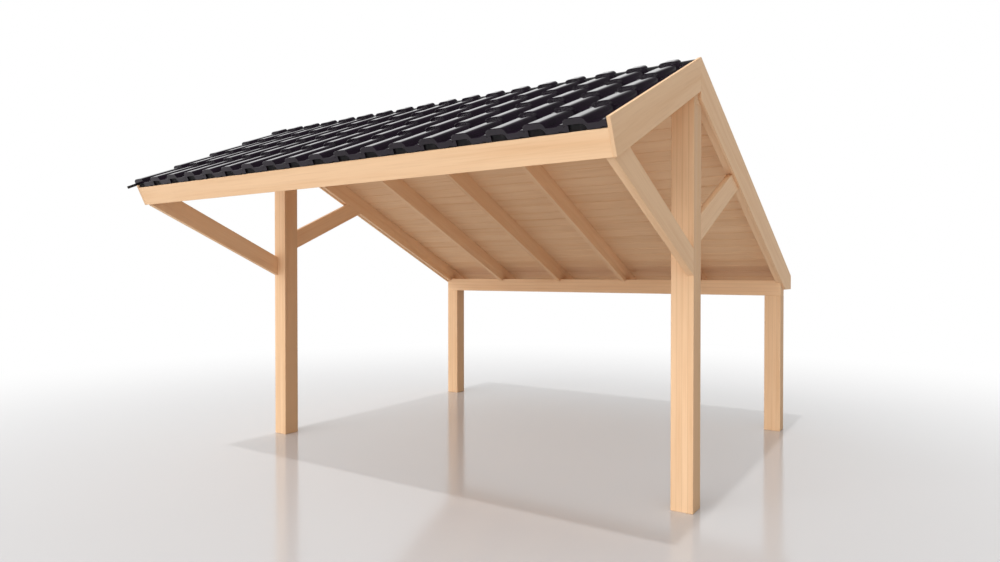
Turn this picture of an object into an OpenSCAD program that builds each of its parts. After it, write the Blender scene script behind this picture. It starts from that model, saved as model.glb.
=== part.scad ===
// Open pole barn: four square timber posts carry a gable roof of unequal
// slopes.  The two tall front posts stand under the ridge, the short front
// slope hangs out over them on knee braces, and the long rear slope runs down
// to a low beam on the two rear posts.
// X runs along the ridge, the high open side faces -Y, the ground is Z = 0.
// A depth into the roof is measured square to the slope, down from the line
// along the verge boards' top edges.

/* [Frame] */
// Length over the posts, along the ridge
frame_length = 5440; // [4000:10:7000]
// Depth over the posts, front to rear
frame_depth = 3840; // [3700:10:3900]
// Side of the square posts and of the rear beam
post_size = 200; // [180:5:220]
// Height of the top of the rear beam
rear_beam_top = 1965; // [1950:5:1985]

/* [Roof shape] */
// Height of the verge boards' tips at the ridge
ridge_top = 3905; // [3890:5:3920]
// Slope of both sides of the roof, in degrees
roof_pitch = 24.75; // [24.5:0.25:25]
// Level run of the front slope, from the ridge to its eave
front_run = 1885; // [1600:5:2200]
// Level run of the rear slope, from the ridge to its eave
rear_run = 4080; // [4060:5:4100]

/* [Rafters and braces] */
// Number of rafters on each slope
rafter_count = 6; // [6]
// Thickness of rafters and braces
rafter_thick = 60; // [50:5:75]
// Depth of the rafters' underside on the front slope
front_rafter_bottom = 255; // [240:5:260]
// Depth of the rafters' underside on the rear slope
rear_rafter_bottom = 310; // [300:5:315]
// Depth of a brace, square to its length
brace_depth = 208; // [160:2:220]
// Height at which the front braces' lower edge meets the front posts
front_brace_foot = 2035; // [2020:5:2045]
// Height at which the rear braces' lower edge meets the front posts
rear_brace_foot = 2340; // [2250:5:2400]
// Thickness of the ridge beam
ridge_beam_thick = 80; // [60:5:100]
// Height of the ridge beam's underside
ridge_beam_bottom = 3500; // [3450:5:3510]

/* [Boards] */
// Thickness of verge boards and eave boards
board_thick = 28; // [20:1:32]
// Depth of the lower edge of the front verge boards and of the front eave board
front_board_bottom = 265; // [262:1:280]
// Depth of the lower edge of the rear verge boards
rear_board_bottom = 322; // [316:1:340]
// Height of the level cut under the rear verge boards, rafters and eave board
rear_cut = 1842; // [1830:1:1860]
// Depth at which the roof boards' top lies
deck_top = 73; // [68:1:80]
// Thickness of the roof boards
deck_thick = 20; // [16:1:24]

/* [Roof covering] */
// Number of tile columns across the roof
tile_columns = 18; // [18]
// Length of slope that one course of tiles covers
tile_gauge = 485; // [470:5:500]
// Height of the tiles' rolls over their pans
roll_height = 52; // [40:2:60]
// Thickness of the tiles
tile_thick = 13; // [10:1:16]
// Length of the eave tiles past the eave boards
nose_reach = 0; // [0:1:30]
// Length of the left verge strips past the eave boards
strip_reach = 94; // [40:2:100]
// Thickness of the left verge strips
strip_thick = 12; // [6:1:16]
// Depth of the upper edge of the left verge strips
strip_top = 22; // [10:1:30]
// Height of the left verge strips, square to the slope
strip_height = 26; // [22:1:40]
// Height of the battens
batten_height = 30; // [24:1:34]
// Width of the battens
batten_width = 50; // [40:5:60]

/* [Hidden] */

FRONT = -1;
REAR = 1;
LEFT = -1;
RIGHT = 1;

pitch_tan = tan(roof_pitch);
pitch_cos = cos(roof_pitch);
pitch_sin = sin(roof_pitch);

frame_half = frame_length / 2;
post_half = post_size / 2;
ridge_half = ridge_beam_thick / 2;
// The ridge stands over the middle of the front posts, and Y is first
// measured from it
rear_beam_back = frame_depth - post_half;
rear_beam_front = rear_beam_back - post_size;
rear_beam_bottom = rear_beam_top - post_size;
rafter_top = deck_top + deck_thick;
rafter_step = (frame_length - rafter_thick) / (rafter_count - 1);
front_length = front_run / pitch_cos;
rear_length = rear_run / pitch_cos;
rear_board_front = rear_run - board_thick;
tile_bed = deck_top - batten_height;
pan_top = tile_bed - tile_thick;
roll_top = pan_top - roll_height;
tiles_left = -frame_half - board_thick;
tiles_right = frame_half - 4;
tile_pitch = (tiles_right - tiles_left) / tile_columns;
roll_half = tile_pitch * 0.28;
roll_radius = (roll_half * roll_half + roll_height * roll_height) / (2 * roll_height);
front_courses = floor(front_length / tile_gauge);
rear_courses = floor(rear_length / tile_gauge);

// A point on a slope: w along it from the ridge, d deep into the roof
function on_slope(side, w, d) =
    [side * (w * pitch_cos - d * pitch_sin), ridge_top - w * pitch_sin - d * pitch_cos];
// A point at level distance run from the ridge, d deep into the roof
function at_run(side, run, d) = [side * run, ridge_top - run * pitch_tan - d / pitch_cos];

// Front and rear tips of the verge strips, and the middle between them, which
// is the model's Y = 0
front_tip = on_slope(FRONT, front_length + strip_reach, strip_top)[0];
rear_tip = on_slope(REAR, rear_length + strip_reach, strip_top)[0];
middle_y = (front_tip + rear_tip) / 2;
middle_x = -strip_thick / 2;

// A Y-Z outline made into a solid from x to x + thick
module profile(x, thick, points) {
    translate([x - middle_x, -middle_y, 0])
        rotate([90, 0, 90])
            linear_extrude(height = thick)
                polygon(points);
}

// X of the near face of a piece that is flush with the frame's side
function flush_x(side, thick) = side == LEFT ? -frame_half : frame_half - thick;
// X of the left face of one rafter
function rafter_x(index) = -frame_half + (index - 1) * rafter_step;

module front_post(side) {
    color("burlywood")
        profile(flush_x(side, post_size), post_size, [
            [-post_half, 0], [post_half, 0],
            at_run(REAR, post_half, rear_rafter_bottom), at_run(REAR, ridge_half, rear_rafter_bottom),
            [ridge_half, ridge_beam_bottom], [-ridge_half, ridge_beam_bottom],
            at_run(FRONT, ridge_half, front_rafter_bottom), at_run(FRONT, post_half, front_rafter_bottom)
        ]);
}

module rear_post(side) {
    color("burlywood")
        profile(flush_x(side, post_size), post_size, [
            [rear_beam_front, 0], [rear_beam_back, 0],
            [rear_beam_back, rear_beam_bottom], [rear_beam_front, rear_beam_bottom]
        ]);
}

module rear_beam() {
    color("burlywood")
        profile(-frame_half, frame_length, [
            [rear_beam_front, rear_beam_bottom], [rear_beam_back, rear_beam_bottom],
            [rear_beam_back, rear_beam_top], [rear_beam_front, rear_beam_top]
        ]);
}

module ridge_beam() {
    color("tan")
        profile(-frame_half, frame_length, [
            [-ridge_half, ridge_beam_bottom], [ridge_half, ridge_beam_bottom],
            at_run(REAR, ridge_half, rafter_top), at_run(REAR, 0, rafter_top),
            at_run(FRONT, ridge_half, rafter_top)
        ]);
}

module front_rafter(index) {
    foot = front_length - board_thick;
    color("tan")
        profile(rafter_x(index), rafter_thick, [
            at_run(FRONT, ridge_half, rafter_top), on_slope(FRONT, foot, rafter_top),
            on_slope(FRONT, foot, front_rafter_bottom), at_run(FRONT, ridge_half, front_rafter_bottom)
        ]);
}

// The rear rafters are notched over the rear beam and cut level at the eave
module rear_rafter(index) {
    color("tan")
        profile(rafter_x(index), rafter_thick, [
            at_run(REAR, ridge_half, rafter_top), at_run(REAR, rear_board_front, rafter_top),
            [rear_board_front, rear_cut], [rear_beam_back, rear_cut],
            [rear_beam_back, rear_beam_top], [rear_beam_front, rear_beam_top],
            at_run(REAR, rear_beam_front, rear_rafter_bottom),
            at_run(REAR, ridge_half, rear_rafter_bottom)
        ]);
}

brace_rise = brace_depth / pitch_cos;

// Level distance from the ridge at which a brace's edge, leaving the post at
// height foot, meets the rafters' underside
function brace_reach(foot, underside) =
    (ridge_top - underside / pitch_cos - foot + post_half * pitch_tan) / (2 * pitch_tan);

// Depth at which the front braces' lower edge passes the eave board's back
foot_gap = ridge_top - front_brace_foot + post_half * pitch_tan;
brace_tip_depth = (foot_gap - 2 * (front_length - board_thick) * pitch_sin)
    * pitch_cos / cos(2 * roof_pitch);

module front_brace(side) {
    color("burlywood")
        profile(flush_x(side, rafter_thick), rafter_thick, [
            [-post_half, front_brace_foot], [-post_half, front_brace_foot + brace_rise],
            at_run(FRONT, brace_reach(front_brace_foot + brace_rise, front_rafter_bottom),
                   front_rafter_bottom),
            on_slope(FRONT, front_length - board_thick, front_rafter_bottom),
            on_slope(FRONT, front_length - board_thick, brace_tip_depth)
        ]);
}

module rear_brace(side) {
    color("burlywood")
        profile(flush_x(side, rafter_thick), rafter_thick, [
            [post_half, rear_brace_foot], [post_half, rear_brace_foot + brace_rise],
            at_run(REAR, brace_reach(rear_brace_foot + brace_rise, rear_rafter_bottom),
                   rear_rafter_bottom),
            at_run(REAR, brace_reach(rear_brace_foot, rear_rafter_bottom), rear_rafter_bottom)
        ]);
}

module front_roof_boards() {
    color("peru")
        profile(-frame_half, frame_length, [
            at_run(FRONT, 0, deck_top), on_slope(FRONT, front_length - board_thick, deck_top),
            on_slope(FRONT, front_length - board_thick, rafter_top), at_run(FRONT, 0, rafter_top)
        ]);
}

module rear_roof_boards() {
    color("peru")
        profile(-frame_half, frame_length, [
            at_run(REAR, 0, deck_top), at_run(REAR, rear_board_front, deck_top),
            at_run(REAR, rear_board_front, rafter_top), at_run(REAR, 0, rafter_top)
        ]);
}

// One batten under the head of each course, and one at the eave
module battens(side, courses, slope_length) {
    for (course = [0 : courses]) {
        w = slope_length - course * tile_gauge - batten_width - (course == 0 ? board_thick : 0);
        color("peru")
            profile(-frame_half, frame_length, [
                on_slope(side, w, tile_bed), on_slope(side, w + batten_width, tile_bed),
                on_slope(side, w + batten_width, deck_top), on_slope(side, w, deck_top)
            ]);
    }
}

module front_battens() {
    battens(FRONT, front_courses, front_length);
}

module rear_battens() {
    battens(REAR, rear_courses, rear_length - board_thick);
}

module front_eave_board() {
    color("burlywood")
        profile(-frame_half, frame_length, [
            on_slope(FRONT, front_length, deck_top), on_slope(FRONT, front_length, front_board_bottom),
            on_slope(FRONT, front_length - board_thick, front_board_bottom),
            on_slope(FRONT, front_length - board_thick, deck_top)
        ]);
}

module rear_eave_board() {
    color("burlywood")
        profile(-frame_half, frame_length, [
            [rear_board_front, rear_cut], [rear_run, rear_cut],
            at_run(REAR, rear_run, deck_top), at_run(REAR, rear_board_front, deck_top)
        ]);
}

function verge_x(side) = side == LEFT ? -frame_half - board_thick : frame_half;
// The tiles lie over the left verge boards and stop against the right ones
function verge_top(side) = side == LEFT ? tile_bed : 0;

module front_verge_board(side) {
    top = verge_top(side);
    color("burlywood")
        profile(verge_x(side), board_thick, [
            at_run(FRONT, 0, top), on_slope(FRONT, front_length, top),
            on_slope(FRONT, front_length, front_board_bottom), at_run(FRONT, 0, front_board_bottom)
        ]);
}

module rear_verge_board(side) {
    top = verge_top(side);
    cut_run = (ridge_top - rear_board_bottom / pitch_cos - rear_cut) / pitch_tan;
    color("burlywood")
        profile(verge_x(side), board_thick, [
            at_run(REAR, 0, top), at_run(REAR, rear_run, top),
            [rear_run, rear_cut], [cut_run, rear_cut], at_run(REAR, 0, rear_board_bottom)
        ]);
}

// The strip closes the edge of the tiles on the left verge and sheds rain clear
// of the eave boards
module verge_strip(side, slope_length) {
    tip = slope_length + strip_reach;
    strip_bottom = strip_top + strip_height;
    color([0.12, 0.1, 0.13])
        profile(tiles_left - strip_thick, strip_thick, [
            at_run(side, 0, strip_top), on_slope(side, tip, strip_top),
            on_slope(side, tip, strip_bottom), at_run(side, 0, strip_bottom)
        ]);
}

module front_verge_strip() {
    verge_strip(FRONT, front_length);
}

module rear_verge_strip() {
    verge_strip(REAR, rear_length);
}

// Across the tiles: a flat bed of pans with one round roll to each column.
// X runs along the roof, Y runs up out of the slope.
module tile_section() {
    translate([tiles_left, -tile_bed])
        square([tiles_right - tiles_left, tile_thick]);
    for (column = [0 : tile_columns - 1])
        intersection() {
            translate([tiles_left + (column + 0.5) * tile_pitch, -roll_top - roll_radius])
                circle(r = roll_radius, $fn = 64);
            translate([tiles_left + column * tile_pitch, -pan_top - tile_thick / 2])
                square([tile_pitch, roll_height + tile_thick]);
        }
}

// The section drawn out along one slope, ending at the ridge on a plumb cut
module tiles(side, end) {
    over_ridge = 100;
    color([0.12, 0.1, 0.13])
        intersection() {
            translate([-middle_x, -middle_y, ridge_top])
                rotate([90 - side * roof_pitch, 0, 0])
                    translate([0, 0, side == FRONT ? -over_ridge : -end])
                        linear_extrude(height = end + over_ridge)
                            tile_section();
            profile(tiles_left, tiles_right - tiles_left, [
                [0, 0], [side * frame_depth * 2, 0],
                [side * frame_depth * 2, ridge_top * 2], [0, ridge_top * 2]
            ]);
        }
}

module front_tiles() {
    tiles(FRONT, front_length + nose_reach);
}

module rear_tiles() {
    tiles(REAR, rear_length + nose_reach);
}

front_post(LEFT);  // front_post_left
front_post(RIGHT);  // front_post_right
rear_post(LEFT);  // rear_post_left
rear_post(RIGHT);  // rear_post_right
rear_beam();
ridge_beam();
front_rafter(1);  // front_rafter_1
front_rafter(2);  // front_rafter_2
front_rafter(3);  // front_rafter_3
front_rafter(4);  // front_rafter_4
front_rafter(5);  // front_rafter_5
front_rafter(6);  // front_rafter_6
rear_rafter(1);  // rear_rafter_1
rear_rafter(2);  // rear_rafter_2
rear_rafter(3);  // rear_rafter_3
rear_rafter(4);  // rear_rafter_4
rear_rafter(5);  // rear_rafter_5
rear_rafter(6);  // rear_rafter_6
front_brace(LEFT);  // front_brace_left
front_brace(RIGHT);  // front_brace_right
rear_brace(LEFT);  // rear_brace_left
rear_brace(RIGHT);  // rear_brace_right
front_roof_boards();
rear_roof_boards();
front_battens();
rear_battens();
front_eave_board();
rear_eave_board();
front_verge_board(LEFT);  // front_verge_board_left
front_verge_board(RIGHT);  // front_verge_board_right
rear_verge_board(LEFT);  // rear_verge_board_left
rear_verge_board(RIGHT);  // rear_verge_board_right
front_verge_strip();
rear_verge_strip();
front_tiles();
rear_tiles();
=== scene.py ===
"""Looks of an open timber pole barn: planed posts and rafters, tongued roof boards and black glazed tiles."""

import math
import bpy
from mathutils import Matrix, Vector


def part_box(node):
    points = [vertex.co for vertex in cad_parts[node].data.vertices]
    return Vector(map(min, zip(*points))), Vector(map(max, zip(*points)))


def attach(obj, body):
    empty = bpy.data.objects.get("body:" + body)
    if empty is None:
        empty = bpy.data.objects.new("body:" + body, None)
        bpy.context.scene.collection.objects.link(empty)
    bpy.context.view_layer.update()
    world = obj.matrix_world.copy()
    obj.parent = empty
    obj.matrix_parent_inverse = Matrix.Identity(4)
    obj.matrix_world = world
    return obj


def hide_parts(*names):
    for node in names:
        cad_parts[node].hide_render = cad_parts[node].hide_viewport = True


bl_info = {
    "name": "Open Timber Pole Barn",
    "version": (1, 0, 0),
    "blender": (4, 5, 0),
    "location": "3D View > Sidebar > Pole Barn",
    "description": "Finishes the frame of a pole barn with planed timber, tongued boards and glazed tiles",
    "category": "Object",
}

import bmesh
import bpy
from bpy.props import FloatProperty, FloatVectorProperty, IntProperty, PointerProperty
from mathutils import Matrix, Vector

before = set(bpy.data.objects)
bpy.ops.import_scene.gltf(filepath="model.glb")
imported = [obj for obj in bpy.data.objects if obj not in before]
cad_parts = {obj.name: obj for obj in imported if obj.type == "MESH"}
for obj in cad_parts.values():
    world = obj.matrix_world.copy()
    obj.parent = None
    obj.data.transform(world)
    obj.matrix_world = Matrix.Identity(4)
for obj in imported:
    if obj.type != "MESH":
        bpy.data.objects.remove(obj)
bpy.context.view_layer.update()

FRONT = -1
REAR = 1
ROOF_PITCH = math.radians(24.75)
PITCH_COS = math.cos(ROOF_PITCH)
PITCH_SIN = math.sin(ROOF_PITCH)

# The ridge line runs along X over the middle of the ridge beam, at the height
# of the verge boards' tips
RIDGE_LOW, RIDGE_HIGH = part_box("ridge_beam")
RIDGE_Y = (RIDGE_LOW.y + RIDGE_HIGH.y) / 2
RIDGE_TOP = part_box("front_verge_board_right")[1].z

POSTS = ("front_post_left", "front_post_right", "rear_post_left", "rear_post_right")
RAFTER_COUNT = 6
SIDES = {"front": FRONT, "rear": REAR}


# ---------------------------------------------------------------- places

def slope_place(side):
    """Lays a flat piece on one slope: X to the right as seen from that eave,
    Y up the slope, Z out of it, from the middle of the ridge."""
    right = Vector((-side, 0, 0))
    up_slope = Vector((0, -side * PITCH_COS, PITCH_SIN))
    out = Vector((0, side * PITCH_SIN, PITCH_COS))
    turn = Matrix((right, up_slope, out)).transposed().to_4x4()
    return Matrix.Translation((0, RIDGE_Y, RIDGE_TOP)) @ turn


def slope_box(node, side):
    """Lowest and highest corner of a node, measured on one slope."""
    flat = slope_place(side).inverted()
    points = [flat @ v.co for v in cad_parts[node].data.vertices]
    low = Vector([min(p[axis] for p in points) for axis in range(3)])
    high = Vector([max(p[axis] for p in points) for axis in range(3)])
    return low, high


# ---------------------------------------------------------------- meshes

def finish_piece(bm, name, materials, replaced, smooth_angle=math.radians(35)):
    """Makes the bmesh a piece that rides on the barn and stands for the
    replaced nodes."""
    bmesh.ops.recalc_face_normals(bm, faces=bm.faces[:])
    mesh = bpy.data.meshes.new(name)
    bm.to_mesh(mesh)
    bm.free()
    mesh.shade_smooth()
    mesh.set_sharp_from_angle(angle=smooth_angle)
    for material in materials:
        mesh.materials.append(material)
    piece = bpy.data.objects.new(name, mesh)
    bpy.context.scene.collection.objects.link(piece)
    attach(piece, "root")
    if replaced:
        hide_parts(*replaced)
    return piece


def add_block(bm, low, high):
    """A plain block between two corners. Returns its vertices."""
    made = bmesh.ops.create_cube(bm, size=1.0)["verts"]
    size = high - low
    bmesh.ops.scale(bm, vec=size, verts=made)
    bmesh.ops.translate(bm, vec=(low + high) / 2, verts=made)
    return made


def trim(bm, point, outward):
    """Cuts everything away beyond a plane and closes the cut."""
    bmesh.ops.bisect_plane(bm, geom=bm.verts[:] + bm.edges[:] + bm.faces[:], dist=0.00001,
                           plane_co=point, plane_no=outward, clear_outer=True)
    bmesh.ops.holes_fill(bm, edges=[e for e in bm.edges if e.is_boundary])


def ease_edges(bm, width, limit=math.radians(20)):
    """Takes the sharpness off every real edge."""
    edges = [e for e in bm.edges if len(e.link_faces) == 2 and e.calc_face_angle() > limit]
    bmesh.ops.bevel(bm, geom=edges, offset=width, offset_type="OFFSET", affect="EDGES",
                    segments=1, profile=0.5, material=-1, clamp_overlap=True)


def mark_end_grain(bm, grain):
    """Faces that cut across the grain take the second material."""
    for face in bm.faces:
        if abs(face.normal.dot(grain)) > 0.9:
            face.material_index = 1


def eased_timber(node, name, grain, materials, width):
    """A copy of a node's solid, with its edges eased and its ends marked."""
    bm = bmesh.new()
    bm.from_mesh(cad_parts[node].data)
    bmesh.ops.remove_doubles(bm, verts=bm.verts[:], dist=0.0001)
    bmesh.ops.dissolve_limit(bm, angle_limit=math.radians(1), verts=bm.verts[:], edges=bm.edges[:])
    ease_edges(bm, width)
    bm.normal_update()
    mark_end_grain(bm, grain)
    return finish_piece(bm, name, materials, [node])


# ---------------------------------------------------------------- materials

def start_material(name):
    """An empty material with its shader. Returns the material, nodes, links
    and shader."""
    material = bpy.data.materials.new(name)
    material.use_nodes = True
    nodes = material.node_tree.nodes
    links = material.node_tree.links
    shader = nodes["Principled BSDF"]
    return material, nodes, links, shader


def object_pattern(nodes, links, turn, stretch, shift=(0, 0, 0)):
    """Object coordinates turned into the timber's own axes, then stretched."""
    coordinates = nodes.new("ShaderNodeTexCoord")
    turned = nodes.new("ShaderNodeMapping")
    turned.inputs["Rotation"].default_value = turn
    turned.inputs["Location"].default_value = shift
    links.new(coordinates.outputs["Object"], turned.inputs["Vector"])
    stretched = nodes.new("ShaderNodeMapping")
    stretched.inputs["Scale"].default_value = stretch
    links.new(turned.outputs["Vector"], stretched.inputs["Vector"])
    return turned.outputs["Vector"], stretched.outputs["Vector"]


def noise(nodes, links, vector, scale, detail, roughness=0.6, distortion=0.0):
    """A noise pattern's factor."""
    node = nodes.new("ShaderNodeTexNoise")
    node.inputs["Scale"].default_value = scale
    node.inputs["Detail"].default_value = detail
    node.inputs["Roughness"].default_value = roughness
    node.inputs["Distortion"].default_value = distortion
    links.new(vector, node.inputs["Vector"])
    return node.outputs["Fac"]


def ramp(nodes, links, factor, stops):
    """A colour ramp through (position, colour) stops."""
    node = nodes.new("ShaderNodeValToRGB")
    node.color_ramp.elements[0].position = stops[0][0]
    node.color_ramp.elements[0].color = (*stops[0][1], 1)
    node.color_ramp.elements[1].position = stops[-1][0]
    node.color_ramp.elements[1].color = (*stops[-1][1], 1)
    for position, colour in stops[1:-1]:
        node.color_ramp.elements.new(position).color = (*colour, 1)
    links.new(factor, node.inputs["Fac"])
    return node.outputs["Color"]


def mix_colour(nodes, links, factor, first, second, blend="MIX"):
    """Mixes two colours. Factor and either colour may be a value or a link."""
    node = nodes.new("ShaderNodeMix")
    node.data_type = "RGBA"
    node.blend_type = blend
    for socket, value in ((0, factor), (6, first), (7, second)):
        if isinstance(value, bpy.types.NodeSocket):
            links.new(value, node.inputs[socket])
        elif socket == 0:
            node.inputs[socket].default_value = value
        else:
            node.inputs[socket].default_value = (*value, 1)
    return node.outputs[2]


def add_bump(nodes, links, shader, height, distance, strength):
    """A fine relief on the surface."""
    bump = nodes.new("ShaderNodeBump")
    bump.inputs["Strength"].default_value = strength
    bump.inputs["Distance"].default_value = distance
    links.new(height, bump.inputs["Height"])
    links.new(bump.outputs["Normal"], shader.inputs["Normal"])


def cell_tone(nodes, links, vector, cell):
    """One random tone to each board or lamella, by the cell it lies in."""
    snapped = nodes.new("ShaderNodeVectorMath")
    snapped.operation = "SNAP"
    snapped.inputs[1].default_value = cell
    links.new(vector, snapped.inputs[0])
    tone = nodes.new("ShaderNodeTexWhiteNoise")
    tone.noise_dimensions = "3D"
    links.new(snapped.outputs["Vector"], tone.inputs["Vector"])
    return tone.outputs["Value"]


GRAIN_ALONG = 0.55
GRAIN_ACROSS = 11.0
FINE_ALONG = 2.0
FINE_ACROSS = 95.0


def grain_stretch(along, slow, fast):
    """Slow along the grain's axis, fast across it."""
    return tuple(slow if axis == along else fast for axis in "xyz")


def glue_lines(nodes, links, vector, axis, lamella):
    """One on the thin glue lines between a timber's lamellas, else nought."""
    split = nodes.new("ShaderNodeSeparateXYZ")
    links.new(vector, split.inputs["Vector"])
    wrapped = nodes.new("ShaderNodeMath")
    wrapped.operation = "WRAP"
    wrapped.inputs[1].default_value = lamella / 2
    wrapped.inputs[2].default_value = -lamella / 2
    links.new(split.outputs[axis.upper()], wrapped.inputs[0])
    distance = nodes.new("ShaderNodeMath")
    distance.operation = "ABSOLUTE"
    links.new(wrapped.outputs["Value"], distance.inputs[0])
    line = nodes.new("ShaderNodeMapRange")
    line.inputs["From Min"].default_value = 0.0008
    line.inputs["From Max"].default_value = 0.0030
    line.inputs["To Min"].default_value = 1.0
    line.inputs["To Max"].default_value = 0.0
    links.new(distance.outputs["Value"], line.inputs["Value"])
    return line.outputs["Result"]


def planed_wood(name, along, turn=(0, 0, 0), cell=(50, 50, 50), shift=(5, 5, 5), glued=None):
    """Pale planed softwood with its grain along one axis of the turned
    timber, and a slight change of tone from cell to cell. A glued timber
    names the axis across its lamellas."""
    wood = bpy.context.scene.barn_timber
    pale = Vector(wood.pale_wood)
    warm = Vector(wood.warm_wood)
    material, nodes, links, shader = start_material(name)
    turned, broad = object_pattern(
        nodes, links, turn, grain_stretch(along, GRAIN_ALONG, GRAIN_ACROSS), shift)
    fine_map = nodes.new("ShaderNodeMapping")
    fine_map.inputs["Scale"].default_value = grain_stretch(along, FINE_ALONG, FINE_ACROSS)
    links.new(turned, fine_map.inputs["Vector"])
    figure = noise(nodes, links, broad, 1.0, 3.0, 0.55, 0.6)
    fibre = noise(nodes, links, fine_map.outputs["Vector"], 1.0, 4.0, 0.6)
    body = ramp(nodes, links, figure, ((0.28, warm), (0.55, pale * 0.98), (0.75, pale)))
    streaks = ramp(nodes, links, fibre, ((0.30, (0.72, 0.62, 0.52)), (0.52, (1, 1, 1))))
    toned = mix_colour(nodes, links, 0.22, body, streaks, "MULTIPLY")
    tone = cell_tone(nodes, links, turned, cell)
    tones = ramp(nodes, links, tone, ((0.0, (0.95, 0.925, 0.90)), (1.0, (1.0, 1.0, 1.0))))
    colour = mix_colour(nodes, links, 1.0, toned, tones, "MULTIPLY")
    if glued:
        line = glue_lines(nodes, links, turned, glued, LAMELLA)
        colour = mix_colour(nodes, links, line, colour, warm * 0.88)
    links.new(colour, shader.inputs["Base Color"])
    shader.inputs["Roughness"].default_value = 0.6
    shader.inputs["Specular IOR Level"].default_value = 0.25
    add_bump(nodes, links, shader, fibre, 0.0004, 0.3)
    return material


def end_grain_wood(name, turn=(0, 0, 0), along="x"):
    """Sawn ends: growth rings round a pith that lies off the timber."""
    wood = bpy.context.scene.barn_timber
    pale = Vector(wood.pale_wood)
    warm = Vector(wood.warm_wood)
    material, nodes, links, shader = start_material(name)
    turned, stretched = object_pattern(nodes, links, turn, (1, 1, 1))
    rings = nodes.new("ShaderNodeTexWave")
    rings.wave_type = "RINGS"
    rings.rings_direction = along.upper()
    rings.inputs["Scale"].default_value = 28.0
    rings.inputs["Distortion"].default_value = 2.0
    rings.inputs["Detail"].default_value = 2.0
    rings.inputs["Detail Scale"].default_value = 3.0
    links.new(stretched, rings.inputs["Vector"])
    colour = ramp(nodes, links, rings.outputs["Fac"],
                  ((0.1, warm * 0.82), (0.5, warm), (1.0, pale * 0.92)))
    links.new(colour, shader.inputs["Base Color"])
    shader.inputs["Roughness"].default_value = 0.75
    return material


def glazed_tile(name):
    """Near-black glazed clay with a plum tint, slightly uneven in its gloss."""
    tiles = bpy.context.scene.barn_tiles
    glaze = Vector(tiles.glaze)
    material, nodes, links, shader = start_material(name)
    coordinates = nodes.new("ShaderNodeTexCoord")
    mottle = noise(nodes, links, coordinates.outputs["Object"], 9.0, 3.0)
    colour = ramp(nodes, links, mottle, ((0.3, glaze * 0.7), (0.7, glaze * 1.3)))
    links.new(colour, shader.inputs["Base Color"])
    gloss = nodes.new("ShaderNodeMapRange")
    gloss.inputs["To Min"].default_value = 0.04
    gloss.inputs["To Max"].default_value = 0.07
    links.new(mottle, gloss.inputs["Value"])
    links.new(gloss.outputs["Result"], shader.inputs["Roughness"])
    shader.inputs["Specular IOR Level"].default_value = 0.5
    return material


def closer_rubber(name):
    """Dull black closing pieces under the tiles."""
    material, nodes, links, shader = start_material(name)
    coordinates = nodes.new("ShaderNodeTexCoord")
    dust = noise(nodes, links, coordinates.outputs["Object"], 60.0, 3.0)
    colour = ramp(nodes, links, dust, ((0.3, (0.010, 0.009, 0.011)), (0.8, (0.022, 0.020, 0.023))))
    links.new(colour, shader.inputs["Base Color"])
    shader.inputs["Roughness"].default_value = 0.5
    return material


FRONT_TURN = (-ROOF_PITCH, 0, 0)
REAR_TURN = (ROOF_PITCH, 0, 0)
SLOPE_TURNS = {FRONT: FRONT_TURN, REAR: REAR_TURN}
LAMELLA = 0.05


# ---------------------------------------------------------------- settings

class BarnTimberSettings(bpy.types.PropertyGroup):
    """Colour and edges of the timbers."""

    pale_wood: FloatVectorProperty(
        name="Pale Wood", description="Colour of the spring growth", subtype="COLOR", size=3,
        min=0, max=1, default=(0.93, 0.63, 0.385))
    warm_wood: FloatVectorProperty(
        name="Warm Wood", description="Colour of the summer growth", subtype="COLOR", size=3,
        min=0, max=1, default=(0.86, 0.55, 0.315))
    post_easing: FloatProperty(
        name="Post Easing", description="Width of the planed chamfer on the posts and beams",
        unit="LENGTH", min=0.001, max=0.01, default=0.004)
    board_easing: FloatProperty(
        name="Board Easing", description="Width of the planed chamfer on the outer boards",
        unit="LENGTH", min=0.0005, max=0.005, default=0.002)


class BarnBoardSettings(bpy.types.PropertyGroup):
    """Tongued roof boards."""

    cover: FloatProperty(
        name="Cover", description="Width of slope that one roof board covers",
        unit="LENGTH", min=0.08, max=0.25, default=0.185)
    chamfer: FloatProperty(
        name="Chamfer", description="Width of the chamfer along each lower edge of a board",
        unit="LENGTH", min=0.002, max=0.01, default=0.008)
    gap: FloatProperty(
        name="Gap", description="Gap between two roof boards",
        unit="LENGTH", min=0.0005, max=0.004, default=0.003)


class BarnTileSettings(bpy.types.PropertyGroup):
    """Glazed roof tiles."""

    columns: IntProperty(
        name="Columns", description="Number of tile columns across the roof",
        min=4, max=40, default=18)
    gauge: FloatProperty(
        name="Gauge", description="Length of slope that one course covers",
        unit="LENGTH", min=0.3, max=0.6, default=0.485)
    head_lap: FloatProperty(
        name="Head Lap", description="Length of a tile hidden under the next course",
        unit="LENGTH", min=0.03, max=0.12, default=0.06)
    step: FloatProperty(
        name="Step", description="Height by which a tile's nose stands over the course below",
        unit="LENGTH", min=0.01, max=0.05, default=0.025)
    roll: FloatProperty(
        name="Roll", description="Height of the roll over the pan",
        unit="LENGTH", min=0.02, max=0.06, default=0.044)
    lip: FloatProperty(
        name="Lip", description="Height of the down-turned nose",
        unit="LENGTH", min=0.01, max=0.05, default=0.044)
    side_lap: FloatProperty(
        name="Side Lap", description="Width of a tile that lies under its right neighbour",
        unit="LENGTH", min=0.01, max=0.06, default=0.035)
    thickness: FloatProperty(
        name="Thickness", description="Thickness of the clay",
        unit="LENGTH", min=0.006, max=0.02, default=0.008)
    glaze: FloatVectorProperty(
        name="Glaze", description="Colour of the glaze", subtype="COLOR", size=3,
        min=0, max=1, default=(0.008, 0.003, 0.009))


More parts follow.
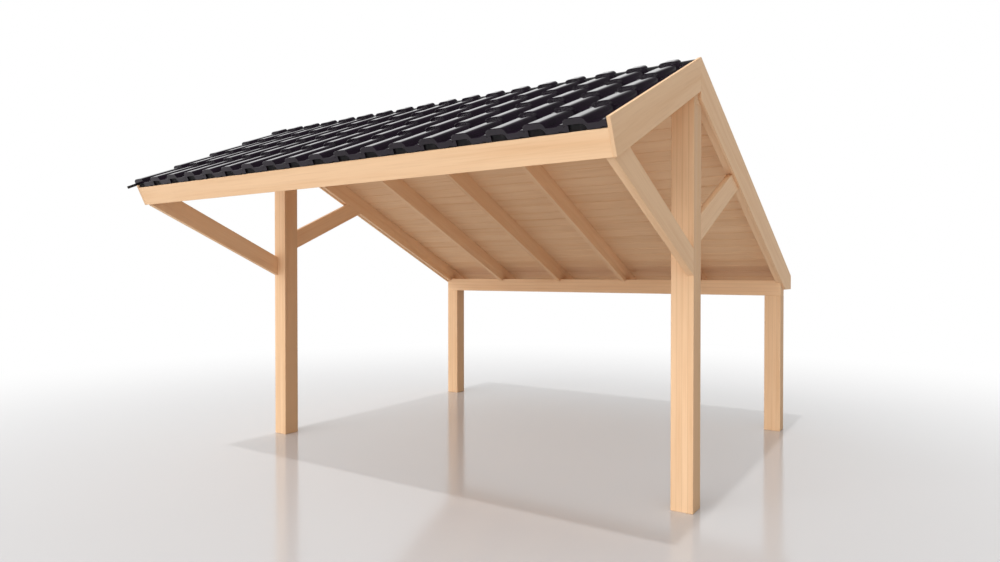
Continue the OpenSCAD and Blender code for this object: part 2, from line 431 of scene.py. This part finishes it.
class BarnStageSettings(bpy.types.PropertyGroup):
    """Floor, light and camera."""

    floor_colour: FloatVectorProperty(
        name="Floor Colour", description="Colour of the studio floor", subtype="COLOR", size=3,
        min=0, max=1, default=(0.63, 0.625, 0.63))
    sun_strength: FloatProperty(
        name="Sun Strength", description="Strength of the high soft key light",
        min=0, max=10, default=0.75)
    fill_strength: FloatProperty(
        name="Fill Strength", description="Strength of the wide soft light from the front",
        min=0, max=10, default=1.18)
    sky_strength: FloatProperty(
        name="Sky Strength", description="Strength of the even light all round",
        min=0, max=3, default=0.74)
    sky_lean: FloatProperty(
        name="Sky Lean", description="How much brighter the sky is at the front left",
        min=0, max=1, default=0.6)
    lens: FloatProperty(
        name="Lens", description="Focal length of the camera in millimetres",
        min=10, max=200, default=24.35)


# ---------------------------------------------------------------- timbers

class BARN_OT_posts_and_beams(bpy.types.Operator):
    """Planes the four posts, the rear beam and the ridge beam"""

    bl_idname = "barn.posts_and_beams"
    bl_label = "Posts and Beams"

    def execute(self, context):
        easing = context.scene.barn_timber.post_easing
        upright_ends = end_grain_wood("post_end_grain", along="z")
        level_ends = end_grain_wood("beam_end_grain", along="x")
        for node in POSTS:
            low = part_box(node)[0]
            wood = planed_wood(node + "_wood", "z", cell=(LAMELLA, 50, 50),
                               shift=(-low.x, 5, 5), glued="x")
            eased_timber(node, "planed_" + node, Vector((0, 0, 1)),
                         (wood, upright_ends), easing)
        for node in ("rear_beam", "ridge_beam"):
            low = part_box(node)[0]
            wood = planed_wood(node + "_wood", "x", cell=(50, 50, LAMELLA),
                               shift=(5, 5, -low.z), glued="z")
            eased_timber(node, "planed_" + node, Vector((1, 0, 0)),
                         (wood, level_ends), easing)
        return {"FINISHED"}


class BARN_OT_rafters_and_braces(bpy.types.Operator):
    """Planes the rafters of both slopes and the knee braces"""

    bl_idname = "barn.rafters_and_braces"
    bl_label = "Rafters and Braces"

    def execute(self, context):
        easing = context.scene.barn_timber.board_easing
        for name, side in SIDES.items():
            turn = SLOPE_TURNS[side]
            grain = slope_place(side).to_3x3() @ Vector((0, 1, 0))
            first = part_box(name + "_rafter_1")[0].x
            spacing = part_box(name + "_rafter_2")[0].x - first
            wood = planed_wood(name + "_rafter_wood", "y", turn, cell=(spacing, 50, 50),
                               shift=(spacing / 2 - first, 5, 5))
            ends = end_grain_wood(name + "_rafter_end_grain", turn, "y")
            for number in range(1, RAFTER_COUNT + 1):
                node = f"{name}_rafter_{number}"
                eased_timber(node, "planed_" + node, grain, (wood, ends), easing)
            # A brace runs parallel to the slope on the other side of the ridge
            other = "rear" if side == FRONT else "front"
            for hand in ("left", "right"):
                node = f"{other}_brace_{hand}"
                eased_timber(node, "planed_" + node, grain, (wood, ends), easing)
        return {"FINISHED"}


# ---------------------------------------------------------------- boards

def roof_board_run(side, node):
    """One slope's tongued boards, side by side up the slope, with a chamfer
    along both lower edges of each."""
    boards = bpy.context.scene.barn_boards
    low, high = slope_box(node, side)
    bm = bmesh.new()
    count = math.ceil((high.y - low.y) / boards.cover)
    for index in range(count):
        bottom = low.y + index * boards.cover
        top = min(bottom + boards.cover - boards.gap, high.y)
        corners = Vector((low.x, bottom, low.z)), Vector((high.x, top, high.z))
        board = add_block(bm, *corners)
        lower_edges = [
            e for e in bm.edges
            if e.verts[0] in board and e.verts[1] in board
            and all(abs(end.co.z - low.z) < 0.0001 for end in e.verts)
            and abs(e.verts[0].co.y - e.verts[1].co.y) < 0.0001
        ]
        bmesh.ops.bevel(bm, geom=lower_edges, offset=boards.chamfer, affect="EDGES",
                        segments=1, profile=0.5, material=-1)
    # Half a tongue's width of solid wood closes each gap at mid thickness
    middle = (low.z + high.z) / 2
    tongue = 0.003
    for index in range(1, count):
        bottom = low.y + index * boards.cover - boards.gap
        add_block(bm, Vector((low.x, bottom - tongue, middle - tongue)),
                  Vector((high.x, bottom + boards.gap + tongue, middle + tongue)))
    bmesh.ops.transform(bm, matrix=slope_place(side), verts=bm.verts[:])
    # The boards end on a plumb cut at the ridge
    trim(bm, (0, RIDGE_Y, 0), (0, -side, 0))
    return bm


BATTEN_WIDTH = 0.05


def batten_run(side, node, tile_node):
    """A batten under the head of each course, planed down to the tiles'
    underside, and one behind the comb at the eave."""
    tiles = bpy.context.scene.barn_tiles
    low, high = slope_box(node, side)
    nose, crest = slope_box(tile_node, side)
    fall = tiles.step * (tiles.gauge + tiles.head_lap) / tiles.gauge
    top = crest.z - tiles.roll - fall - tiles.thickness
    bm = bmesh.new()
    for course in range(math.ceil(-low.y / tiles.gauge)):
        bottom = nose.y + course * tiles.gauge + (BATTEN_WIDTH if course == 0 else 0)
        add_block(bm, Vector((low.x, bottom, low.z)), Vector((high.x, bottom + BATTEN_WIDTH, top)))
    bmesh.ops.transform(bm, matrix=slope_place(side), verts=bm.verts[:])
    return bm


class BARN_OT_roof_boards(bpy.types.Operator):
    """Lays the tongued boards that show from under the roof, and the battens"""

    bl_idname = "barn.roof_boards"
    bl_label = "Roof Boards"

    def execute(self, context):
        cover = context.scene.barn_boards.cover
        for name, side in SIDES.items():
            node = name + "_roof_boards"
            low, high = slope_box(node, side)
            shift = slope_cell_shift(side, low.y)
            wood = planed_wood(name + "_board_wood", "x", SLOPE_TURNS[side],
                               cell=(50, cover, 50), shift=shift)
            bm = roof_board_run(side, node)
            finish_piece(bm, name + "_tongued_boards", (wood,), [node])
            batten_wood = planed_wood(name + "_batten_wood", "x", SLOPE_TURNS[side])
            finish_piece(batten_run(side, name + "_battens", name + "_tiles"),
                         name + "_tile_battens", (batten_wood,), [name + "_battens"])
        return {"FINISHED"}


def slope_cell_shift(side, lowest):
    """Shift that starts the boards' tone cells at the lowest board's edge."""
    turn = Matrix.Rotation(SLOPE_TURNS[side][0], 3, "X")
    edge = slope_place(side) @ Vector((0, lowest, 0))
    return (5, -(turn @ edge).y, 5)


class BARN_OT_outer_boards(bpy.types.Operator):
    """Planes the boards along the verges and the eaves"""

    bl_idname = "barn.outer_boards"
    bl_label = "Verge and Eave Boards"

    def execute(self, context):
        easing = context.scene.barn_timber.board_easing
        for name, side in SIDES.items():
            turn = SLOPE_TURNS[side]
            grain = slope_place(side).to_3x3() @ Vector((0, 1, 0))
            verge_wood = planed_wood(name + "_verge_wood", "y", turn)
            verge_ends = end_grain_wood(name + "_verge_end_grain", turn, "y")
            for hand in ("left", "right"):
                node = f"{name}_verge_board_{hand}"
                eased_timber(node, "planed_" + node, grain,
                             (verge_wood, verge_ends), easing)
            node = name + "_eave_board"
            eave_wood = planed_wood(name + "_eave_wood", "x", turn)
            eave_ends = end_grain_wood(name + "_eave_end_grain", turn, "x")
            eased_timber(node, "planed_" + node, Vector((1, 0, 0)),
                         (eave_wood, eave_ends), easing)
        return {"FINISHED"}


# ---------------------------------------------------------------- tiles

ROLL_SHARE = 0.56
ROLL_MIDDLE = 0.255
ROLL_FLATNESS = 5.5
RIB_START = 0.84
RIB_END = 0.985
RIB_HEIGHT = 0.009
TILE_STRIPS = 20
NOSE_ROUND = 0.004


def tile_height(share):
    """Height of a tile over its pan at a share of its width, from the left."""
    roll = bpy.context.scene.barn_tiles.roll
    if share < ROLL_SHARE:
        across = abs(share - ROLL_MIDDLE) / (ROLL_SHARE - ROLL_MIDDLE)
        return roll * max(1 - across ** ROLL_FLATNESS, 0.0)
    if RIB_START < share < RIB_END:
        return RIB_HEIGHT * math.sin(math.pi * (share - RIB_START) / (RIB_END - RIB_START))
    return 0.0


def one_tile(bm, width, length, depth_of_nose):
    """One tile with the middle of its nose's left corner at the origin: the
    nose at Y = 0, the head up the slope and lower by the step."""
    tiles = bpy.context.scene.barn_tiles
    made = bmesh.ops.create_grid(bm, x_segments=TILE_STRIPS, y_segments=1, size=0.5)["verts"]
    bmesh.ops.translate(bm, vec=(0.5, 0.5, 0), verts=made)
    fall = tiles.step / tiles.gauge
    lapped = 1 + tiles.side_lap / width
    for vertex in made:
        share = vertex.co.x * lapped
        along = vertex.co.y * length
        vertex.co = (share * width, along, tile_height(share) - along * fall)
    nose = [e for e in bm.edges if all(end.co.y < 0.0001 for end in e.verts)]
    for move in ((0, -NOSE_ROUND, -NOSE_ROUND), (0, 0, -depth_of_nose)):
        grown = bmesh.ops.extrude_edge_only(bm, edges=nose)["geom"]
        tips = [g for g in grown if isinstance(g, bmesh.types.BMVert)]
        bmesh.ops.translate(bm, vec=move, verts=tips)
        nose = [g for g in grown if isinstance(g, bmesh.types.BMEdge)
                and all(end in tips for end in g.verts)]
        nose = [e for e in nose if abs(e.verts[0].co.y - e.verts[1].co.y) < 0.0001]
    bmesh.ops.recalc_face_normals(bm, faces=bm.faces[:])
    top = max(bm.faces, key=lambda face: face.calc_area())
    if top.normal.z < 0:
        bmesh.ops.reverse_faces(bm, faces=bm.faces[:])
    bmesh.ops.solidify(bm, geom=bm.faces[:], thickness=tiles.thickness)


def tile_courses(side, node):
    """One slope's tiles: the same tile laid in columns and courses."""
    tiles = bpy.context.scene.barn_tiles
    low, high = slope_box(node, side)
    width = (high.x - low.x) / tiles.columns
    length = tiles.gauge + tiles.head_lap
    pattern = bmesh.new()
    one_tile(pattern, width, length, tiles.lip - NOSE_ROUND)
    pattern_mesh = bpy.data.meshes.new("tile_pattern")
    pattern.to_mesh(pattern_mesh)
    pattern.free()
    crest = high.z
    courses = math.ceil(-low.y / tiles.gauge)
    bm = bmesh.new()
    for course in range(courses):
        for column in range(tiles.columns):
            corner = Vector((low.x + column * width,
                             low.y + NOSE_ROUND + course * tiles.gauge,
                             crest - tiles.roll))
            start = len(bm.verts)
            bm.from_mesh(pattern_mesh)
            bm.verts.ensure_lookup_table()
            bmesh.ops.translate(bm, vec=corner, verts=bm.verts[start:])
    bpy.data.meshes.remove(pattern_mesh)
    trim(bm, (high.x, 0, 0), (1, 0, 0))
    lay_from_left_verge(bm, side, low.x + high.x)
    trim(bm, (0, RIDGE_Y, 0), (0, -side, 0))
    return bm


def lay_from_left_verge(bm, side, width):
    """Lays tiles on a slope so that the first rolls lie on the left verge."""
    if side == REAR:
        bmesh.ops.scale(bm, vec=(-1, 1, 1), verts=bm.verts[:])
        bmesh.ops.translate(bm, vec=(width, 0, 0), verts=bm.verts[:])
    bmesh.ops.transform(bm, matrix=slope_place(side), verts=bm.verts[:])


COMB_THICKNESS = 0.008
COMB_SET_BACK = 0.016


def eave_comb(side, node, foot):
    """A dark comb that closes the rolls at the eave, from the tiles' underside
    down to the eave board."""
    tiles = bpy.context.scene.barn_tiles
    low, high = slope_box(node, side)
    width = (high.x - low.x) / tiles.columns
    bm = bmesh.new()
    strips = TILE_STRIPS * tiles.columns
    made = bmesh.ops.create_grid(bm, x_segments=strips, y_segments=1, size=0.5)["verts"]
    pan = high.z - tiles.roll - tiles.thickness
    for vertex in made:
        across = (vertex.co.x + 0.5) * tiles.columns
        top = pan + tile_height(across % 1)
        height = top if vertex.co.y > 0 else foot
        vertex.co = (low.x + across * width, low.y + COMB_SET_BACK, height)
    bmesh.ops.solidify(bm, geom=bm.faces[:], thickness=COMB_THICKNESS)
    lay_from_left_verge(bm, side, low.x + high.x)
    return bm


RIDGE_FILL_WIDTH = 0.07
RIDGE_FILL_DEPTH = 0.03
RIDGE_FILL_RELIEF = 0.032


class BARN_OT_tiles(bpy.types.Operator):
    """Lays the glazed tiles, the closing strip under the ridge and the strips
    along the left verge"""

    bl_idname = "barn.tiles"
    bl_label = "Tiles"

    def execute(self, context):
        glaze = glazed_tile("black_glaze")
        rubber = closer_rubber("closer_black")
        for name, side in SIDES.items():
            node = name + "_tiles"
            bm = tile_courses(side, node)
            finish_piece(bm, name + "_glazed_tiles", (glaze,), [node],
                         math.radians(38))
            foot = slope_box(name + "_battens", side)[0].z
            finish_piece(eave_comb(side, node, foot), name + "_eave_comb",
                         (rubber,), [])
            strip = name + "_verge_strip"
            eased_timber(strip, "edged_" + strip, Vector((1, 0, 0)),
                         (rubber, rubber), 0.001)
        low, high = slope_box("front_tiles", FRONT)
        bm = bmesh.new()
        top = high.z - RIDGE_FILL_RELIEF
        for side in (FRONT, REAR):
            ends = slope_box("front_tiles" if side == FRONT else "rear_tiles", side)
            flap = add_block(bm, Vector((ends[0].x, -RIDGE_FILL_WIDTH, top - RIDGE_FILL_DEPTH)),
                             Vector((ends[1].x, RIDGE_FILL_DEPTH, top)))
            bmesh.ops.transform(bm, matrix=slope_place(side), verts=flap)
            edges = [e for e in bm.edges if e.verts[0] in flap]
            faces = [f for f in bm.faces if f.verts[0] in flap]
            bmesh.ops.bisect_plane(bm, geom=flap + edges + faces, dist=0.00001,
                                   plane_co=(0, RIDGE_Y, 0), plane_no=(0, -side, 0),
                                   clear_outer=True)
            bmesh.ops.holes_fill(bm, edges=[e for e in bm.edges if e.is_boundary])
        finish_piece(bm, "ridge_closer", (rubber,), [])
        return {"FINISHED"}


# ---------------------------------------------------------------- stage

BRIGHT_SIDE = Vector((-0.55, -0.83, 0.0))
CAMERA_RIGHT_OF_RIGHT_POST = 1.7755
CAMERA_BEFORE_RIDGE = 5.7935
CAMERA_HEIGHT = 2.0525
CAMERA_TURN = math.radians(33.31)
CAMERA_TILT = math.radians(-0.625)


FLOOR_FADE_START = 4.0
FLOOR_FADE_END = 12.0


def studio_floor(colour):
    """A wide pale floor with a soft polish."""
    bm = bmesh.new()
    bmesh.ops.create_grid(bm, x_segments=1, y_segments=1, size=60.0)
    mesh = bpy.data.meshes.new("studio_floor")
    bm.to_mesh(mesh)
    bm.free()
    floor = bpy.data.objects.new("studio_floor", mesh)
    bpy.context.scene.collection.objects.link(floor)
    material, nodes, links, shader = start_material("floor_polish")
    coordinates = nodes.new("ShaderNodeTexCoord")
    cloud = noise(nodes, links, coordinates.outputs["Object"], 0.4, 1.0)
    tone = ramp(nodes, links, cloud, ((0.0, colour * 0.985), (1.0, colour)))
    links.new(tone, shader.inputs["Base Color"])
    shader.inputs["Roughness"].default_value = 0.12
    fade_to_white(nodes, links, shader, coordinates)
    mesh.materials.append(material)


def fade_to_white(nodes, links, shader, coordinates):
    """Far from the barn the camera sees the floor as plain white."""
    reach = nodes.new("ShaderNodeVectorMath")
    reach.operation = "LENGTH"
    links.new(coordinates.outputs["Object"], reach.inputs[0])
    far = nodes.new("ShaderNodeMapRange")
    far.interpolation_type = "SMOOTHSTEP"
    far.inputs["From Min"].default_value = FLOOR_FADE_START
    far.inputs["From Max"].default_value = FLOOR_FADE_END
    links.new(reach.outputs["Value"], far.inputs["Value"])
    path = nodes.new("ShaderNodeLightPath")
    seen = nodes.new("ShaderNodeMath")
    seen.operation = "MULTIPLY"
    links.new(far.outputs["Result"], seen.inputs[0])
    links.new(path.outputs["Is Camera Ray"], seen.inputs[1])
    white = nodes.new("ShaderNodeEmission")
    white.inputs["Color"].default_value = (1, 1, 1, 1)
    mixed = nodes.new("ShaderNodeMixShader")
    links.new(seen.outputs["Value"], mixed.inputs["Fac"])
    links.new(shader.outputs["BSDF"], mixed.inputs[1])
    links.new(white.outputs["Emission"], mixed.inputs[2])
    links.new(mixed.outputs["Shader"], nodes["Material Output"].inputs["Surface"])


def studio_world(strength, lean):
    """Soft white light that leans to the front left, and plain white wherever
    the camera sees it. Glossy surfaces see it white and dim overhead."""
    world = bpy.data.worlds.new("studio_world")
    bpy.context.scene.world = world
    world.use_nodes = True
    nodes = world.node_tree.nodes
    links = world.node_tree.links
    nodes.clear()
    path = nodes.new("ShaderNodeLightPath")
    seen = nodes.new("ShaderNodeMath")
    seen.operation = "MAXIMUM"
    links.new(path.outputs["Is Camera Ray"], seen.inputs[0])
    links.new(path.outputs["Is Glossy Ray"], seen.inputs[1])
    seen_through = nodes.new("ShaderNodeMath")
    seen_through.operation = "MAXIMUM"
    links.new(seen.outputs["Value"], seen_through.inputs[0])
    links.new(path.outputs["Is Transmission Ray"], seen_through.inputs[1])
    light = nodes.new("ShaderNodeBackground")
    light.inputs["Color"].default_value = (1.0, 1.0, 1.0, 1)
    coordinates = nodes.new("ShaderNodeTexCoord")
    toward = nodes.new("ShaderNodeVectorMath")
    toward.operation = "DOT_PRODUCT"
    toward.inputs[1].default_value = BRIGHT_SIDE
    links.new(coordinates.outputs["Generated"], toward.inputs[0])
    leaning = nodes.new("ShaderNodeMath")
    leaning.operation = "MULTIPLY_ADD"
    leaning.inputs[1].default_value = strength * lean
    leaning.inputs[2].default_value = strength
    links.new(toward.outputs["Value"], leaning.inputs[0])
    links.new(leaning.outputs["Value"], light.inputs["Strength"])
    white = nodes.new("ShaderNodeBackground")
    white.inputs["Color"].default_value = (1, 1, 1, 1)
    height = nodes.new("ShaderNodeSeparateXYZ")
    links.new(coordinates.outputs["Generated"], height.inputs["Vector"])
    overhead = nodes.new("ShaderNodeMapRange")
    overhead.inputs["From Min"].default_value = 0.50
    overhead.inputs["From Max"].default_value = 0.70
    overhead.inputs["To Max"].default_value = -0.85
    links.new(height.outputs["Z"], overhead.inputs["Value"])
    dimmed = nodes.new("ShaderNodeMath")
    dimmed.operation = "MULTIPLY_ADD"
    dimmed.inputs[2].default_value = 1.0
    links.new(overhead.outputs["Result"], dimmed.inputs[0])
    links.new(path.outputs["Is Glossy Ray"], dimmed.inputs[1])
    links.new(dimmed.outputs["Value"], white.inputs["Strength"])
    mixed = nodes.new("ShaderNodeMixShader")
    links.new(seen_through.outputs["Value"], mixed.inputs["Fac"])
    links.new(light.outputs["Background"], mixed.inputs[1])
    links.new(white.outputs["Background"], mixed.inputs[2])
    output = nodes.new("ShaderNodeOutputWorld")
    links.new(mixed.outputs["Shader"], output.inputs["Surface"])


def add_sun(name, strength, spread, direction):
    """A far lamp that shines along a direction, spread over some degrees."""
    lamp = bpy.data.lights.new(name, "SUN")
    lamp.energy = strength
    lamp.angle = math.radians(spread)
    light = bpy.data.objects.new(name, lamp)
    light.rotation_euler = Vector(direction).to_track_quat("-Z", "Y").to_euler()
    bpy.context.scene.collection.objects.link(light)


class BARN_OT_stage(bpy.types.Operator):
    """Sets the floor, the light and the camera"""

    bl_idname = "barn.stage"
    bl_label = "Stage"

    def execute(self, context):
        stage = context.scene.barn_stage
        scene = context.scene
        studio_floor(Vector(stage.floor_colour))
        studio_world(stage.sky_strength, stage.sky_lean)
        add_sun("high_key", stage.sun_strength, 1.5, (0.02, 0.35, -1))
        add_sun("front_fill", stage.fill_strength, 50, (0.25, 0.90, -0.36))
        lens = bpy.data.cameras.new("camera")
        lens.lens = stage.lens
        lens.sensor_width = 36
        lens.clip_end = 500
        camera = bpy.data.objects.new("camera", lens)
        right_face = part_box("front_post_right")[1].x
        camera.location = (right_face + CAMERA_RIGHT_OF_RIGHT_POST,
                           RIDGE_Y - CAMERA_BEFORE_RIDGE, CAMERA_HEIGHT)
        camera.rotation_euler = (math.pi / 2 + CAMERA_TILT, 0, CAMERA_TURN)
        scene.collection.objects.link(camera)
        scene.camera = camera
        scene.view_settings.view_transform = "Standard"
        return {"FINISHED"}


# ---------------------------------------------------------------- add-on

class BARN_PT_panel(bpy.types.Panel):
    """Lists the barn's settings and steps."""

    bl_idname = "BARN_PT_panel"
    bl_label = "Pole Barn"
    bl_space_type = "VIEW_3D"
    bl_region_type = "UI"
    bl_category = "Pole Barn"

    def draw(self, context):
        for group in SETTINGS:
            settings = getattr(context.scene, group)
            box = self.layout.box()
            for name in settings.bl_rna.properties.keys():
                if name not in ("rna_type", "name"):
                    box.prop(settings, name)
        for step in STEPS:
            self.layout.operator(step.bl_idname)


STEPS = (
    BARN_OT_stage,
    BARN_OT_posts_and_beams,
    BARN_OT_rafters_and_braces,
    BARN_OT_roof_boards,
    BARN_OT_outer_boards,
    BARN_OT_tiles,
)
SETTINGS = {
    "barn_timber": BarnTimberSettings,
    "barn_boards": BarnBoardSettings,
    "barn_tiles": BarnTileSettings,
    "barn_stage": BarnStageSettings,
}
CLASSES = (*SETTINGS.values(), *STEPS, BARN_PT_panel)


def register():
    for cls in CLASSES:
        bpy.utils.register_class(cls)
    for name, group in SETTINGS.items():
        setattr(bpy.types.Scene, name, PointerProperty(type=group))


def unregister():
    for name in SETTINGS:
        delattr(bpy.types.Scene, name)
    for cls in reversed(CLASSES):
        bpy.utils.unregister_class(cls)


def main():
    register()
    bpy.ops.barn.stage()
    bpy.ops.barn.posts_and_beams()
    bpy.ops.barn.rafters_and_braces()
    bpy.ops.barn.roof_boards()
    bpy.ops.barn.outer_boards()
    bpy.ops.barn.tiles()


if __name__ == "__main__":
    main()
